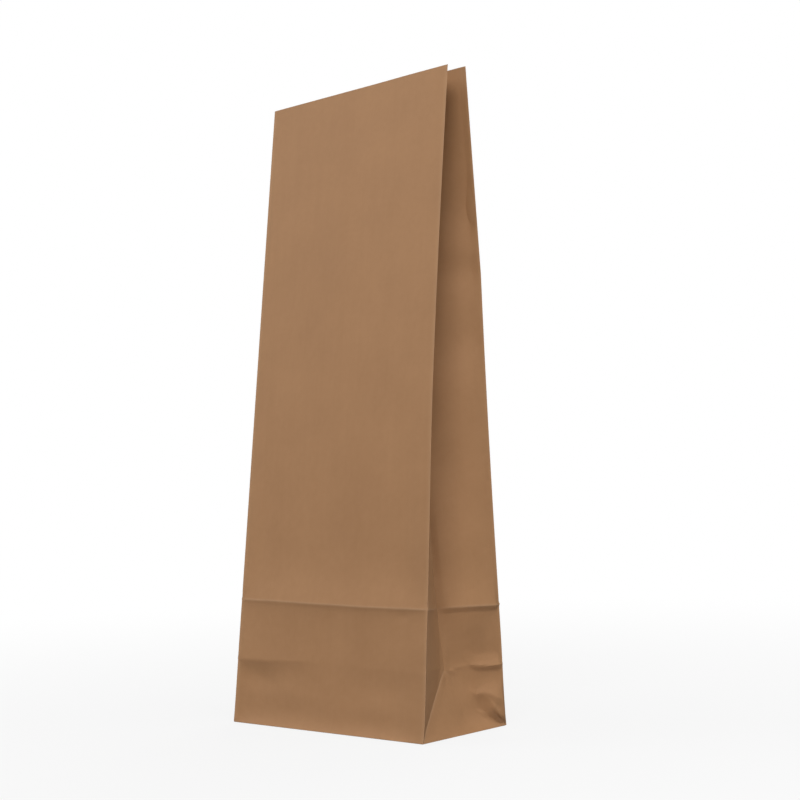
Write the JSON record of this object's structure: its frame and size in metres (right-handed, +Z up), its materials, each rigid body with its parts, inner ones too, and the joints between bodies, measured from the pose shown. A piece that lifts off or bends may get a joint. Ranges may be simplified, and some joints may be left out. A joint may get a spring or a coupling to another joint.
{
  "type": "kraft paper sack",
  "caption": "Tall kraft paper sack with a block bottom and folded side gussets, standing open with a narrow mouth.",
  "frame": {"origin": "middle of the base, on the surface the sack stands on", "axes": "+X to the right along the wide front, +Y from the front to the back, +Z up from the base to the mouth"},
  "size_m": [0.2685, 0.13, 0.6494],
  "materials": {
    "kraft": "matt brown kraft paper, unprinted"
  },
  "bodies": {
    "root": {"sack": "kraft"}
  },
  "joints": []
}
